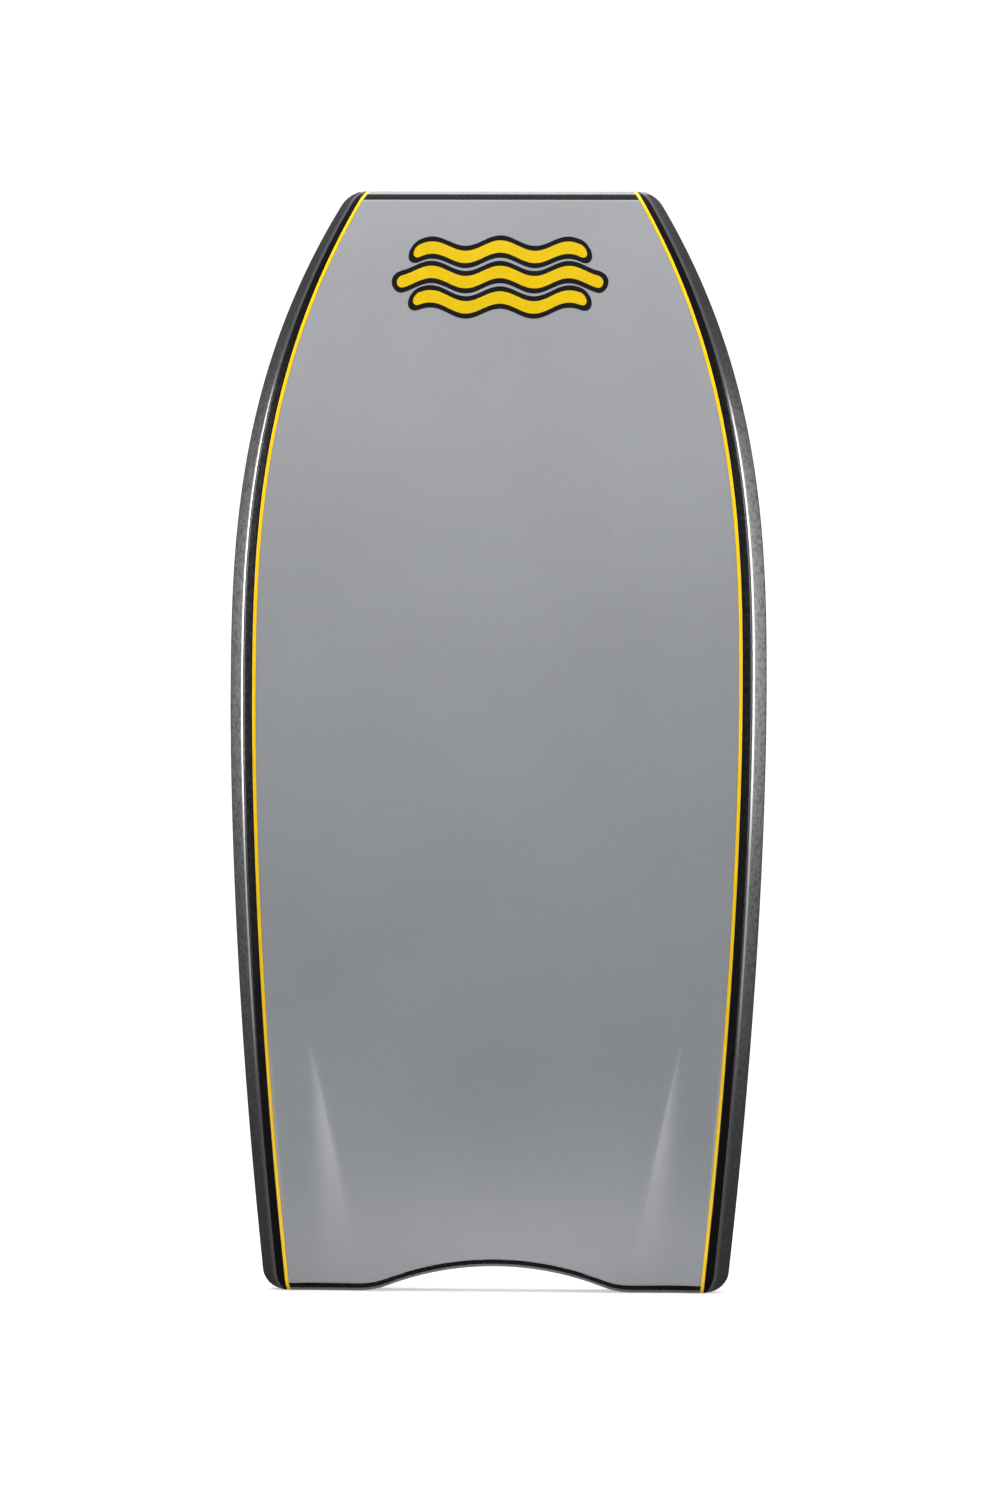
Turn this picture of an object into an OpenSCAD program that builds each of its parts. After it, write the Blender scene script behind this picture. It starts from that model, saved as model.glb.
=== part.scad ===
/* [Outline] */
// Length from the tail corners to the nose edge
board_len = 1067; // [960:1:1170]
// Widest width, across the rails
board_w = 520; // [470:1:580]
// Width of the nose edge, before its corners are rounded
nose_w = 297; // [260:1:330]
// Width of the tail, before its corners are rounded
tail_w = 448; // [430:1:460]
// Distance of the widest point from the nose edge
wide_at = 496; // [440:1:510]
// How fast the outline narrows towards the nose
nose_power = 2.75; // [2.4:0.05:2.9]
// How fast the outline narrows towards the tail
tail_power = 1.75; // [1.6:0.05:2.1]
// Radius of the nose corners
nose_corner_r = 13; // [8:0.5:14]
// Radius of the tail corners
tail_corner_r = 19; // [12:0.5:19]

/* [Profile] */
// Thickness in the middle
mid_t = 55; // [50:1:62]
// Thickness at the nose
nose_t = 43; // [43:1:48]
// Thickness at the tail
tail_t = 47; // [42:1:50]
// Height of the nose above the flat of the slick
nose_lift = 44; // [20:1:60]
// Length of the nose rocker
nose_rocker_len = 430; // [350:5:450]
// Height of the tail above the flat of the slick
tail_lift = 6; // [0:1:10]
// Length of the tail rocker
tail_rocker_len = 267; // [200:1:300]
// How much the deck is higher in its middle than at its edges
deck_crown = 4; // [0:0.5:6]

/* [Tail] */
// Depth of the crescent cut into the tail
crescent_depth = 24.2; // [15:0.1:28]
// Distance from the centre line to the outer end of the crescent
crescent_half = 131; // [120:1:140]
// Radius of the fillet at each end of the crescent
crescent_fillet_r = 75; // [50:1:90]
// Length of each channel
channel_len = 272; // [200:1:300]
// Depth of each channel at the tail
channel_depth = 5.5; // [0:0.5:6]

/* [Rails] */
// Share of the rail's width that the black chine takes
chine_share = 0.44; // [0.35:0.01:0.5]
// Width of a pinline
pinline_w = 3.2; // [2:0.1:4]
// Height of the rail's apex, as a share of the thickness
apex_share = 0.5; // [0.46:0.01:0.54]
// Height of the chine's ridge, as a share of the thickness
ridge_share = 0.14; // [0.12:0.01:0.18]

/* [Skins] */
// Thickness of the slick's outer film
film_t = 1; // [0.6:0.1:1.4]
// Thickness of the foam under the film
backing_t = 3.2; // [2:0.1:3.4]
// Thickness of each reinforcing mesh
mesh_t = 0.5; // [0.3:0.1:0.6]
// Thickness of the deck skin
deck_t = 5; // [3:0.1:6]

/* [Stringer] */
// Outer diameter of the stringer tube
stringer_d = 12; // [10.5:0.5:14]
// Inner diameter of the stringer tube
stringer_bore_d = 9; // [6:0.5:10]
// Length of the stringer tube
stringer_len = 760; // [600:5:780]
// Height of the stringer's lower end above the tail corners
stringer_z = 110; // [100:1:130]
// Length of each end cap that sits on the tube
cap_len = 8; // [4:1:12]

/* [Emblem] */
// Width of the emblem without its outline
emblem_w = 200; // [150:1:200]
// Distance of the emblem's middle from the nose edge
emblem_at = 86; // [82:1:100]
// Thickness of a wave in the emblem
wave_t = 12; // [8:0.5:13]
// Height of a wave's crests above and below its middle
wave_rise = 5; // [2:0.5:6]
// Distance from one wave to the next
wave_pitch = 25; // [25:0.5:28]
// Width of the outline round each wave
outline_w = 5; // [2:0.5:5]

/* [Hidden] */

// Distances along the board are called s and run from the nose edge to the tail corners.
// Heights are called h and run from the flat of the slick towards the deck.

// The bumper strips: where the black strip ends and where the slick begins.
nose_split = 3.8;
nose_band = 10;
tail_split = board_len - 2.7;
tail_band = board_len - 7.6;
// The rail strips are thinner inside over this length at each end, and solid at the bumpers.
rail_taper = 14;

// Stations along the board.
mid_rows = 24;
mid_start = nose_band + rail_taper;
mid_end = tail_band - rail_taper;
mid_stations = [for (i = [0 : mid_rows]) mid_start + (mid_end - mid_start) * i / mid_rows];
inner_stations = concat([nose_band], mid_stations, [tail_band]);
stations = concat([0, nose_split], inner_stations, [tail_split, board_len]);

// Columns across half of the board: up to the channel's shoulder, across its wall, to the edge.
shoulder_cols = 5;
wall_cols = 2;
edge_cols = 2;
half_cols = shoulder_cols + wall_cols + edge_cols;

stack_t = film_t + backing_t + mesh_t;
deck_stack_t = deck_t + mesh_t;
pin_half = pinline_w / 2;

// Half-widths of the outline and of the pinline's middle.
rail_w_nose = 18.5;
rail_w_mid = 25.2;
rail_w_tail = 24.3;
tail_run = board_len - wide_at;
function to_nose(s) = max(0, (wide_at - s) / wide_at);
function to_tail(s) = max(0, (s - wide_at) / tail_run);
function outline(s) = board_w / 2 - (board_w - nose_w) / 2 * pow(to_nose(s), nose_power)
    - (board_w - tail_w) / 2 * pow(to_tail(s), tail_power);
function rail_w(s) = rail_w_mid - (rail_w_mid - rail_w_nose) * pow(to_nose(s), nose_power)
    - (rail_w_mid - rail_w_tail) * pow(to_tail(s), tail_power);
function pin_x(s) = outline(s) - rail_w(s);

// How far a round corner of radius r pulls the outline in, at distance d from its end.
function corner_in(r, d) = d < r ? r - sqrt(r * r - (r - d) * (r - d)) : 0;
function strip_w(s) = rail_w(s) - pin_half - corner_in(nose_corner_r, s)
    - corner_in(tail_corner_r, board_len - s);

// Thickness and rocker.
thin_len = 400;
function thickness(s) = mid_t
    - (mid_t - nose_t) * pow(max(0, 1 - s / thin_len), 2)
    - (mid_t - tail_t) * pow(max(0, 1 - (board_len - s) / thin_len), 2);
function lift(s) = nose_lift * pow(max(0, 1 - s / nose_rocker_len), 2)
    + tail_lift * pow(max(0, 1 - (board_len - s) / tail_rocker_len), 2);

function smooth(t) = let (c = min(1, max(0, t))) c * c * (3 - 2 * c);

// Channels: a sharp shoulder that runs outwards from the crescent's end, a hollow wall and a soft side.
channel_start = board_len - channel_len;
wall_w = 45;
wall_min_w = 6;
wall_full_room = 70;
wall_min_share = 0.2;
shoulder_share = 0.83;
shoulder_spread = 56;
shoulder_bend = 1.15;
function channel_run(s) = max(0, (s - channel_start) / channel_len);
function shoulder_x(s) = s < channel_start
    ? shoulder_share * pin_x(s)
    : crescent_half - 1 + shoulder_spread * pow(1 - channel_run(s), shoulder_bend);
function wall_x(s) = shoulder_x(s) + max(wall_min_w, wall_w * channel_run(s))
    * min(1, (pin_x(s) - shoulder_x(s)) / wall_full_room + wall_min_share);
function channel(s, x) =
    let (a = shoulder_x(s), b = wall_x(s), e = pin_x(s) - pin_half)
    let (wall = 1 - pow(1 - min(1, max(0, (abs(x) - a) / (b - a))), 2))
    let (side = 1 - smooth((abs(x) - b) / (e - b)))
    channel_depth * smooth(channel_run(s)) * wall * side;

// The bottom rises towards the nose and tail edges, and the deck drops, as shares of the thickness.
inner_ridge_share = ridge_share + 0.08;
split_share = inner_ridge_share - 0.02;
tail_rise = 0.27;
function bottom_rise(s) = lookup(s, [
    [0, apex_share - 0.04], [nose_split, split_share], [nose_band, 0],
    [tail_band, 0], [tail_split, split_share], [board_len, tail_rise]
]);
function top_share(s) = lookup(s, [
    [0, apex_share + 0.1], [nose_split, 0.9], [nose_band, 1], [tail_split, 1], [board_len, 0.96]
]);
bumper_scale = 0.1;
function inner_scale(s) = lookup(s, [
    [nose_band, bumper_scale], [mid_start, 1], [mid_end, 1], [tail_band, bumper_scale]
]);

// Deck shape: a low crown, raised bulbs at the nose corners and shallow rests for the elbows.
bulb_rise = 3;
bulb_share = 0.72;
bulb_s = 75;
bulb_reach = [60, 90];
rest_depth = 2.5;
rest_at = [125, 480];
rest_reach = [85, 190];
function bump(d) = d < 1 ? pow(1 - d * d, 2) : 0;
function deck_shape(s, x) = let (p = pin_x(s))
    - deck_crown * pow(x / p, 2)
    + bulb_rise * bump(norm([(abs(x) - bulb_share * p) / bulb_reach[0], (s - bulb_s) / bulb_reach[1]]))
    - rest_depth * bump(norm([(abs(x) - rest_at[0]) / rest_reach[0], (s - rest_at[1]) / rest_reach[1]]));

function bottom(s, x) = lift(s) + max(channel(s, x), bottom_rise(s) * thickness(s));
function top(s, x) = lift(s) + (thickness(s) + deck_shape(s, x)) * top_share(s);

// The crescent: an arc between two fillets. It fades out along the board.
crescent_sum_r = (crescent_half * crescent_half + crescent_depth * crescent_depth)
    / (2 * crescent_depth);
crescent_r = crescent_sum_r - crescent_fillet_r;
crescent_join = crescent_half * crescent_r / crescent_sum_r;
crescent_fade = 260;
function crescent(x) = let (a = abs(x))
    a >= crescent_half ? 0
    : a > crescent_join ? corner_in(crescent_fillet_r, crescent_fillet_r - (crescent_half - a))
    : crescent_depth - crescent_r + sqrt(crescent_r * crescent_r - a * a);
function warp(s, x) =
    crescent(x) * smooth((s - tail_band + crescent_fade) / crescent_fade);

// The frame: X across, Z from the tail corners up to the nose, Y from the slick to the deck.
h_middle = max([for (s = stations) top(s, 0)]) / 2;
function place(s, x, h) = [x, h - h_middle, board_len - s + warp(s, x)];

// Section points on the right-hand side. The strips meet on these lines, which lie at these shares of
// the strips' width.
inner_ridge_at = 0.16;
inner_apex_at = 0.72;
deck_edge_at = 0.2;
function c_share(s) = max(inner_ridge_share, bottom_rise(s) + 0.02);
function line_x(s, share) = pin_x(s) + pin_half + share * strip_w(s);
function edge_s(s) = place(s, pin_x(s) - pin_half, bottom(s, pin_x(s)));
function edge_p(s) = place(s, line_x(s, 0), bottom(s, pin_x(s)));
function pin_depth(s) =
    min(stack_t, (lift(s) + c_share(s) * thickness(s) - bottom(s, pin_x(s))) / 2);
function edge_d(s) = place(s, line_x(s, 0), bottom(s, pin_x(s)) + pin_depth(s));
function ridge(s) = place(s, line_x(s, chine_share),
    lift(s) + max(ridge_share, bottom_rise(s) + 0.005) * thickness(s));
function apex(s) = place(s, line_x(s, 1), lift(s) + apex_share * thickness(s));
function inner_ridge(s) =
    place(s, line_x(s, inner_ridge_at * inner_scale(s)), lift(s) + c_share(s) * thickness(s));
function inner_apex(s) =
    place(s, line_x(s, inner_apex_at * inner_scale(s)), lift(s) + apex_share * thickness(s));
deck_drop_share = 0.6;
function deck_edge_x(s) = line_x(s, deck_edge_at * inner_scale(s));
function deck_drop(s) =
    min(deck_stack_t, deck_drop_share * (top(s, deck_edge_x(s)) - lift(s) - apex_share * thickness(s)));
function deck_edge(s, depth) =
    place(s, deck_edge_x(s), top(s, deck_edge_x(s)) - depth);

function mirrored(v) = [-v[0], v[1], v[2]];
function reversed(list) = [for (i = [len(list) - 1 : -1 : 0]) list[i]];

// Column i of the grid at station s, for a layer whose edge lies at edge_x.
function half_column(s, i, edge_x) =
    i <= shoulder_cols ? shoulder_x(s) * i / shoulder_cols
    : i <= shoulder_cols + wall_cols
        ? shoulder_x(s) + (wall_x(s) - shoulder_x(s)) * (i - shoulder_cols) / wall_cols
    : i == half_cols ? edge_x
        : wall_x(s) + (pin_x(s) - pin_half - wall_x(s)) * (i - shoulder_cols - wall_cols) / edge_cols;
function column(s, i, edge_x) = sign(i) * half_column(s, abs(i), edge_x);
function columns(s, edge_x) = [for (i = [-half_cols : half_cols]) column(s, i, edge_x)];

// Rows of points across the board, from left to right.
function slick_row(s, depth) = let (edge_x = line_x(s, 0) - pinline_w * (1 - depth / stack_t))
    [for (x = columns(s, edge_x)) place(s, x, bottom(s, min(abs(x), pin_x(s))) + depth)];
function deck_row(s, depth) = concat(
    [mirrored(deck_edge(s, depth))],
    [for (x = columns(s, line_x(s, 0))) place(s, x, top(s, x) - depth)],
    [deck_edge(s, depth)]
);
function split_row(s) = concat(
    [mirrored(inner_ridge(s))],
    [for (x = columns(s, line_x(s, 0))) place(s, x, lift(s) + c_share(s) * thickness(s))],
    [inner_ridge(s)]
);

// A closed solid through rings of points. Each ring runs along the slick side first.
module loft(rings) {
    n = len(rings[0]);
    m = len(rings);
    last = (m - 1) * n;
    sides = [for (j = [0 : m - 2], i = [0 : n - 1]) let (a = j * n + i, b = j * n + (i + 1) % n)
        each [[a, a + n, b], [b, a + n, b + n]]];
    start_cap = [for (i = [0 : ceil(n / 2) - 2]) each concat(
        [[i, i + 1, n - 1 - i]],
        i + 1 < n - 2 - i ? [[i + 1, n - 2 - i, n - 1 - i]] : []
    )];
    end_cap = [for (f = start_cap) [last + f[2], last + f[1], last + f[0]]];
    polyhedron([for (r = rings) each r], concat(sides, start_cap, end_cap));
}

module core() {
    color("gainsboro") difference() {
        loft([for (s = inner_stations) concat(
            [mirrored(inner_apex(s)), mirrored(inner_ridge(s))],
            slick_row(s, stack_t),
            [inner_ridge(s), inner_apex(s)],
            reversed(deck_row(s, deck_stack_t))
        )]);
        stringer_axis() cylinder(h = bore_top, d = stringer_d, $fn = 48);
    }
}

// The stringer lies on this line, a little above the middle of the core.
stringer_h = 29;
bore_top = stringer_z + stringer_len + cap_len;
plug_gap = 0.3;
plug_foot = crescent_depth + board_len - tail_band + plug_gap;
module stringer_axis() {
    translate([0, stringer_h - h_middle, 0]) children();
}

module stringer_tube() {
    color("dimgray") stringer_axis() translate([0, 0, stringer_z]) difference() {
        cylinder(h = stringer_len, d = stringer_d, $fn = 48);
        translate([0, 0, -1]) cylinder(h = stringer_len + 2, d = stringer_bore_d, $fn = 48);
    }
}

// A cap with a head as wide as the tube and a spigot that fills the tube's end.
spigot_len = 14;
module stringer_cap() {
    cylinder(h = cap_len, d = stringer_d, $fn = 48);
    translate([0, 0, -spigot_len]) cylinder(h = spigot_len + 0.01, d = stringer_bore_d, $fn = 48);
}

module stringer_nose_cap() {
    color("black") stringer_axis() translate([0, 0, stringer_z + stringer_len]) stringer_cap();
}

module stringer_tail_cap() {
    color("black") stringer_axis() translate([0, 0, stringer_z]) mirror([0, 0, 1]) stringer_cap();
}

module stringer_bore_plug() {
    color("whitesmoke") stringer_axis() translate([0, 0, plug_foot])
        cylinder(h = stringer_z - cap_len - plug_foot, d = stringer_d, $fn = 48);
}

// One layer of the bottom, between two depths under its surface.
module slick_layer(outer, inner) {
    loft([for (s = inner_stations) concat(slick_row(s, outer), reversed(slick_row(s, inner)))]);
}

module slick_film() {
    color([0.6, 0.61, 0.62]) slick_layer(0, film_t);
}

module slick_backing() {
    color("silver") slick_layer(film_t, film_t + backing_t);
}

module slick_mesh() {
    color("white") slick_layer(film_t + backing_t, stack_t);
}

// One layer of the deck, between two depths under its surface.
module deck_layer(inner, outer) {
    loft([for (s = inner_stations) concat(deck_row(s, inner), reversed(deck_row(s, outer)))]);
}

module deck_skin() {
    color([0.17, 0.17, 0.18]) deck_layer(deck_t, 0);
}

module deck_mesh() {
    color("white") deck_layer(deck_stack_t, deck_t);
}

// The strips of the right-hand rail.
module chine_right() {
    color([0.08, 0.08, 0.09]) loft([for (s = stations) [edge_p(s), ridge(s), inner_ridge(s), edge_d(s)]]);
}

module side_rail_right() {
    color([0.28, 0.28, 0.29]) loft([for (s = stations) [ridge(s), apex(s), inner_apex(s), inner_ridge(s)]]);
}

module top_rail_right() {
    color([0.2, 0.2, 0.21]) loft([for (s = stations)
        [apex(s), deck_edge(s, 0), deck_edge(s, deck_drop(s)), inner_apex(s)]]);
}

module pinline_right() {
    color("gold") loft([for (s = stations) [edge_s(s), edge_p(s), edge_d(s)]]);
}

module chine_left() {
    mirror([1, 0, 0]) chine_right();
}

module side_rail_left() {
    mirror([1, 0, 0]) side_rail_right();
}

module top_rail_left() {
    mirror([1, 0, 0]) top_rail_right();
}

module pinline_left() {
    mirror([1, 0, 0]) pinline_right();
}

// The black strip at an end of the slick, between the pinlines.
function lower_bumper_ring(s) = concat(
    [mirrored(edge_d(s))],
    [for (x = columns(s, pin_x(s) - pin_half)) place(s, x, bottom(s, x))],
    [edge_d(s)],
    reversed(split_row(s))
);

module nose_bumper_lower() {
    color([0.1, 0.1, 0.11]) loft([for (s = [nose_split, nose_band]) lower_bumper_ring(s)]);
}

module tail_bumper_lower() {
    color([0.1, 0.1, 0.11]) loft([for (s = [tail_band, tail_split]) lower_bumper_ring(s)]);
}

// The strip beyond it, up to the deck.
function upper_bumper_ring(s) = concat(
    [mirrored(inner_apex(s))],
    split_row(s),
    [inner_apex(s), deck_edge(s, deck_drop(s))],
    reversed(deck_row(s, 0)),
    [mirrored(deck_edge(s, deck_drop(s)))]
);

module nose_bumper_upper() {
    color([0.5, 0.5, 0.51]) loft([for (s = [0, nose_split, nose_band]) upper_bumper_ring(s)]);
}

module tail_bumper_upper() {
    color([0.33, 0.33, 0.35]) loft([for (s = [tail_band, tail_split, board_len]) upper_bumper_ring(s)]);
}

// The emblem: three waves side by side along the board, the middle one the longest.
// A black layer lies on the slick, and a narrower yellow layer lies on it.
print_t = 0.15;
wave_steps = 24;
wave_crests = 3;
wave_shrink = 0.16;
emblem_arch = 2.5;
round_angles = [for (a = [80 : -20 : 20]) a];
slick_line = [for (s = inner_stations) [s, bottom(s, 0)]];

// Height of wave k's middle line above the emblem's middle, towards the nose.
function wave_mid(k, x) = k * (wave_pitch - emblem_arch * pow(2 * x / emblem_w, 2))
    + wave_rise * cos(360 * wave_crests * x / emblem_w);

// A wave is t thick, and round at its ends, which lie at x = -reach and x = reach.
function wave_half(x, t, reach) = let (past = max(0, abs(x) - reach + t / 2))
    sqrt(t * t / 4 - past * past);
function on_slick(x, v, depth) = let (s = emblem_at - v)
    place(s, x, lookup(s, slick_line) + depth);

module wave(k, t, reach, outer, inner) {
    straight = reach - t / 2;
    xs = concat(
        [for (a = round_angles) -straight - t / 2 * sin(a)],
        [for (i = [0 : wave_steps]) straight * (2 * i / wave_steps - 1)],
        [for (a = reversed(round_angles)) straight + t / 2 * sin(a)]
    );
    loft([for (x = xs) let (mid = wave_mid(k, x), half = wave_half(x, t, reach)) [
        on_slick(x, mid - half, outer), on_slick(x, mid + half, outer),
        on_slick(x, mid + half, inner), on_slick(x, mid - half, inner)
    ]]);
}

// The three waves, each grown by a margin on all sides.
module waves(margin, outer, inner) {
    for (k = [-1 : 1])
        wave(k, wave_t + 2 * margin, emblem_w / 2 * (1 - wave_shrink * abs(k)) + margin, outer, inner);
}

module emblem_outline() {
    color("black") waves(outline_w, -print_t, 0);
}

module emblem_fill() {
    color("gold") waves(0, -2 * print_t, -print_t);
}

core();
stringer_tube();
stringer_nose_cap();
stringer_tail_cap();
stringer_bore_plug();
slick_film();
slick_backing();
slick_mesh();
deck_skin();
deck_mesh();
chine_left();
chine_right();
side_rail_left();
side_rail_right();
top_rail_left();
top_rail_right();
pinline_left();
pinline_right();
nose_bumper_lower();
nose_bumper_upper();
tail_bumper_lower();
tail_bumper_upper();
emblem_outline();
emblem_fill();
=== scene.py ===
"""Looks of the bodyboard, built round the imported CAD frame. Lengths are in metres.

Z runs from the tail corners up to the nose, X across and Y from the slick to the deck.
Along the board, s is the distance from the nose edge. Across its thickness, h is the height above
the flat part of the slick, towards the deck. A section is a run of (x, h) points at each station.
"""

import math

import bpy
import numpy as np
from mathutils import Matrix, Vector

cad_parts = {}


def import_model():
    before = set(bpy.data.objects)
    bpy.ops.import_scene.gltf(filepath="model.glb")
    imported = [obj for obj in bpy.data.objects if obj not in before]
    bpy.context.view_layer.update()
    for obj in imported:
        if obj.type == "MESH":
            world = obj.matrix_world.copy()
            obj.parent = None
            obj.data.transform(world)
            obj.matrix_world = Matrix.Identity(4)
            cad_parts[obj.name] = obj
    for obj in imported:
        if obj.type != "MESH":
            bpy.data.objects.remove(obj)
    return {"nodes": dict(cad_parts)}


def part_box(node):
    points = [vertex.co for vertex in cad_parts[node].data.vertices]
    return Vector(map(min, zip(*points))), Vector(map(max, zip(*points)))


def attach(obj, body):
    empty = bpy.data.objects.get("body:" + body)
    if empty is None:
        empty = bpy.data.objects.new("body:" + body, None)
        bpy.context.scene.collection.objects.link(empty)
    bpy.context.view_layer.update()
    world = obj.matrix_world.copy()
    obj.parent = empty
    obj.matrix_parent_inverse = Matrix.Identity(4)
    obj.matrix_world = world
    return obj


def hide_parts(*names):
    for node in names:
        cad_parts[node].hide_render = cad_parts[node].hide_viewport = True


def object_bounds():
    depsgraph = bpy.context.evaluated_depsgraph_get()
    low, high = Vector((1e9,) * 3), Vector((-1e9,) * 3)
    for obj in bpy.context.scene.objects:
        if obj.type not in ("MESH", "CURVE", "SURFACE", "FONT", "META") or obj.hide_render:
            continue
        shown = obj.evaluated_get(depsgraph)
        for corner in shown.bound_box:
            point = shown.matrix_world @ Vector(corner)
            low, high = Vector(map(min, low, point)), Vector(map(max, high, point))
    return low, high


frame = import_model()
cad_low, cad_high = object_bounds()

MM = 0.001

# ---------------------------------------------------------------- values of the board

# Outline.
LENGTH = cad_high.z - cad_low.z
WIDTH = cad_high.x - cad_low.x
NOSE_W = 297 * MM
TAIL_W = 448 * MM
WIDE_AT = 496 * MM
NOSE_POWER = 2.75
TAIL_POWER = 1.75
NOSE_CORNER_R = 13 * MM
TAIL_CORNER_R = 19 * MM

# Profile.
SLICK_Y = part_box("slick_film")[0].y
MID_T = 55 * MM
NOSE_T = 43 * MM
TAIL_T = 47 * MM
THIN_LEN = 400 * MM
NOSE_LIFT = 44 * MM
NOSE_ROCKER = 430 * MM
TAIL_LIFT = 6 * MM
TAIL_ROCKER = 267 * MM

# Sheets.
FILM_T = 1 * MM
SLICK_STACK_T = 4.7 * MM
DECK_T = 5 * MM

# Rails. A name in AT is a share of the rail's width, and one in SHARE is a share of the thickness.
RAIL_W_NOSE = 18.5 * MM
RAIL_W_MID = 25.2 * MM
RAIL_W_TAIL = 24.3 * MM
PIN_HALF = 1.6 * MM
CHINE_AT = 0.44
DECK_EDGE_AT = 0.2
INNER_RIDGE_AT = 0.16
INNER_APEX_AT = 0.72
APEX_SHARE = 0.5
RIDGE_SHARE = 0.14
INNER_RIDGE_SHARE = 0.22
RIDGE_LEAD = 0.005
SPLIT_LEAD = 0.02
RAIL_TAPER = 14 * MM
BUMPER_SCALE = 0.1

# Bumpers: where the black strips lie, and how far both faces close in at them, as shares of height.
NOSE_SPLIT = 3.8 * MM
NOSE_BAND = 10 * MM
TAIL_SPLIT = LENGTH - 2.7 * MM
TAIL_BAND = LENGTH - 7.6 * MM
SPLIT_SHARE = INNER_RIDGE_SHARE - SPLIT_LEAD
NOSE_RISE = APEX_SHARE - 0.04
TAIL_RISE = 0.27
NOSE_TOP = APEX_SHARE + 0.1
NOSE_SPLIT_TOP = 0.9
TAIL_TOP = 0.96
BLEND_REACH = 0.5 * MM

# Crescent: an arc between two fillets, fading out along the board.
CRESCENT_DEPTH = 24.2 * MM
CRESCENT_HALF = 131 * MM
CRESCENT_FILLET = 75 * MM
CRESCENT_SUM = (CRESCENT_HALF**2 + CRESCENT_DEPTH**2) / (2 * CRESCENT_DEPTH)
CRESCENT_R = CRESCENT_SUM - CRESCENT_FILLET
CRESCENT_JOIN = CRESCENT_HALF * CRESCENT_R / CRESCENT_SUM
CRESCENT_FADE = 260 * MM

# Channels: a sharp shoulder, a hollow wall and a soft side.
CHANNEL_LEN = 272 * MM
CHANNEL_DEPTH = 5.5 * MM
CHANNEL_START = LENGTH - CHANNEL_LEN
WALL_W = 45 * MM
WALL_MIN_W = 6 * MM
WALL_FULL_ROOM = 70 * MM
WALL_MIN_SHARE = 0.2
SHOULDER_SHARE = 0.83
SHOULDER_INSET = 1 * MM
SHOULDER_SPREAD = 56 * MM
SHOULDER_BEND = 1.15

# Deck: a low crown, raised bulbs at the nose corners and shallow rests for the elbows.
DECK_CROWN = 4 * MM
BULB_RISE = 3 * MM
BULB_SHARE = 0.72
BULB_S = 75 * MM
BULB_REACH = (60 * MM, 90 * MM)
REST_DEPTH = 2.5 * MM
REST_AT = (125 * MM, 480 * MM)
REST_REACH = (85 * MM, 190 * MM)

# Emblem.
EMBLEM_W = 200 * MM
EMBLEM_AT = 86 * MM
EMBLEM_ARCH = 2.5 * MM
WAVE_T = 12 * MM
WAVE_RISE = 5 * MM
WAVE_PITCH = 25 * MM
WAVE_OUTLINE = 5 * MM
WAVE_CRESTS = 3
WAVE_SHRINK = 0.16
BASE_PROUD = 0.15 * MM
WAVES_BASE = 0.1 * MM
WAVES_PROUD = 0.3 * MM

# Fine roundings and seams.
ROLL_STEPS = np.array([0.0, 0.5, 1.0, 1.6]) * MM
ROLL_REACH = ROLL_STEPS[-1]
ROLL_DEPTH = 0.45 * MM
ROLL_INSET = 3 * MM
SEAM_DIP = 0.3 * MM
DECK_SEAM_DIP = 0.35 * MM
GROOVE = 0.5 * MM
TOE_DEPTH = 1.6 * MM
TOE_R = 1.9 * MM
RIDGE_R = 3.6 * MM
APEX_R = 4.5 * MM
APEX_PUSH = 2 * MM
DECK_EDGE_R = 4.5 * MM
DECK_EDGE_INSET = 5 * MM
TOP_RAIL_FOOT = (1 * MM, 5 * MM)
PIN_PROUD = 0.45 * MM
PIN_DEPTH = 1.6 * MM
PIN_BASE = 0.9
FILLET_ROOM = 0.45
# How the ridge's smoothing and its painted highlight fade away from the ridge.
RUB_AND_HIGHLIGHT_FADE = 0.35

# How finely the meshes are divided. Columns are counted to the shoulder, over the wall, to the edge.
END_REACH = 22 * MM
END_ROWS = 9
BUMPER_END_ROWS = 26
MIN_GAP = 0.2 * MM
SLICK_ROWS = 150
DECK_ROWS = 110
RAIL_ROWS = 130
SLICK_COLUMNS = (24, 16, 8)
DECK_COLUMNS = (20, 8, 8)
BUMPER_COLUMNS = (24, 8, 6)
BLEND_STEPS = 5
PIN_POINTS = 9
TOE_POINTS = 5
RAIL_POINTS = 13
RIDGE_SPLIT = 3
APEX_SPLIT = RAIL_POINTS // 2
CORNER_POINTS = 9
CORNER_SPLIT = CORNER_POINTS // 2
WAVE_POINTS = 90
WAVE_LANES = 9
WAVE_END_STEPS = np.sin(np.radians(np.arange(88, 0, -8)))
SHARP_DEG = 38
SHEET_SHARP_DEG = 50

MIRROR = [-1, 1]

# ---------------------------------------------------------------- the board's shape


def smooth(t):
    c = np.clip(t, 0, 1)
    return c * c * (3 - 2 * c)


def to_nose(s):
    return np.clip((WIDE_AT - s) / WIDE_AT, 0, None)


def to_tail(s):
    return np.clip((s - WIDE_AT) / (LENGTH - WIDE_AT), 0, None)


def outline(s):
    """Half of the board's width."""
    nose = (WIDTH - NOSE_W) / 2 * to_nose(s) ** NOSE_POWER
    tail = (WIDTH - TAIL_W) / 2 * to_tail(s) ** TAIL_POWER
    return WIDTH / 2 - nose - tail


def rail_w(s):
    nose = (RAIL_W_MID - RAIL_W_NOSE) * to_nose(s) ** NOSE_POWER
    tail = (RAIL_W_MID - RAIL_W_TAIL) * to_tail(s) ** TAIL_POWER
    return RAIL_W_MID - nose - tail


def pin_x(s):
    """Distance of the pinline's middle from the centre line."""
    return outline(s) - rail_w(s)


def corner_in(r, d):
    """How far a round corner of radius r pulls the outline in, at distance d from its end."""
    d = np.minimum(d, r)
    return r - np.sqrt(r * r - (r - d) ** 2)


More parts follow.
